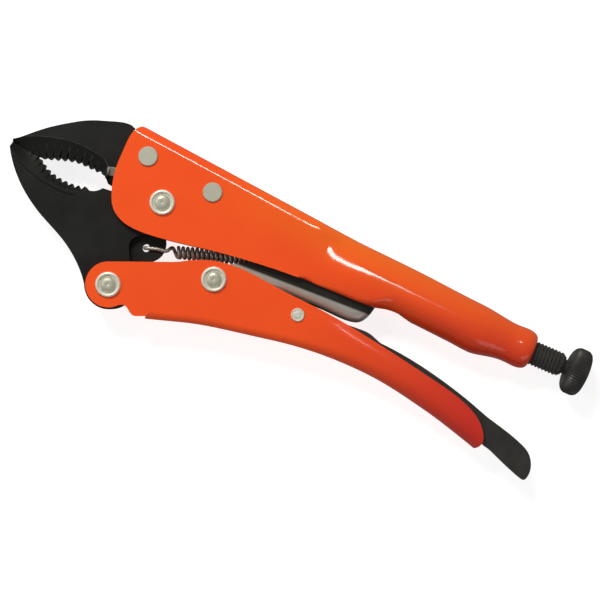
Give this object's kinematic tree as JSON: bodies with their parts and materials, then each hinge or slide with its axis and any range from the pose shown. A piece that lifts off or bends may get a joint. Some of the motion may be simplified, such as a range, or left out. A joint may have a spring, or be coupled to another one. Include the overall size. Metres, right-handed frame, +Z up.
{
  "type": "locking pliers",
  "caption": "Curved-jaw locking pliers with orange channel handles, black toothed jaws, a toggle link, a release lever and a knurled adjusting screw.",
  "frame": {"origin": "on the jaw pivot's axis, in the plane that the tool rests on, which is the far end of the jaw pivot rivet", "axes": "+X along the adjusting screw towards its knob, +Y towards the main handle's closed back, +Z up through the tool's thickness"},
  "size_m": [0.2498, 0.0737, 0.02],
  "materials": {
    "orange_enamel": "gloss",
    "black_forging": "satin",
    "bright_rivet": "satin",
    "link_steel": "satin",
    "black_steel": "satin",
    "spring_wire": "gloss"
  },
  "bodies": {
    "main_frame": {"main_handle": "orange_enamel", "fixed_jaw": "black_forging", "fixed_jaw_rivet_front": "bright_rivet", "fixed_jaw_rivet_rear": "bright_rivet", "jaw_pivot_rivet": "bright_rivet", "jaw_pivot_ring_near": "bright_rivet", "jaw_pivot_ring_far": "bright_rivet", "tension_spring": "spring_wire"},
    "moving_jaw": {"moving_jaw": "black_forging"},
    "lever": {"lower_lever": "orange_enamel", "lever_pivot_rivet": "bright_rivet", "lever_pivot_ring_near": "bright_rivet", "lever_pivot_ring_far": "bright_rivet", "link_pivot_rivet": "bright_rivet", "link_pivot_ring_near": "bright_rivet", "link_pivot_ring_far": "bright_rivet", "release_lever_rivet": "bright_rivet"},
    "toggle_link": {"toggle_link": "link_steel"},
    "release_lever": {"release_lever": "black_steel"},
    "adjusting_screw": {"adjusting_screw": "black_steel"},
    "adjusting_knob": {"adjusting_knob": "black_steel"}
  },
  "joints": [
    {"name": "jaw_pivot", "type": "hinge", "parent": "main_frame", "child": "moving_jaw", "pos_m": [0, 0, 0.01], "axis": [0, 0, 1], "range_deg": [0, 18], "deforming": ["tension_spring"]},
    {"name": "lever_pivot", "type": "hinge", "parent": "moving_jaw", "child": "lever", "pos_m": [-0.0067, -0.03875, 0.01], "axis": [0, 0, 1], "range_deg": [-53.2, 0]},
    {"name": "link_pivot", "type": "hinge", "parent": "lever", "child": "toggle_link", "pos_m": [0.0312, -0.0199, 0.01], "axis": [0, 0, 1], "range_deg": [0, 60.4]},
    {"name": "release_pivot", "type": "hinge", "parent": "lever", "child": "release_lever", "pos_m": [0.06765, -0.0195, 0.01], "axis": [0, 0, 1], "range_deg": [0, 2]},
    {"name": "screw_travel", "type": "slide", "parent": "main_frame", "child": "adjusting_screw", "axis": [1, 0, 0], "range_m": [0, 0.012]},
    {"name": "knob_turn", "type": "hinge", "parent": "adjusting_screw", "child": "adjusting_knob", "pos_m": [0.18, 0.0045, 0.01], "axis": [1, 0, 0], "range_deg": [0, 2884]}
  ],
  "couplings": [
    {"joint": "lever_pivot", "follows": "jaw_pivot", "ratio": -2.95},
    {"joint": "link_pivot", "follows": "jaw_pivot", "ratio": 3.35},
    {"joint": "knob_turn", "follows": "screw_travel", "rad_per_m": 4188.8}
  ]
}
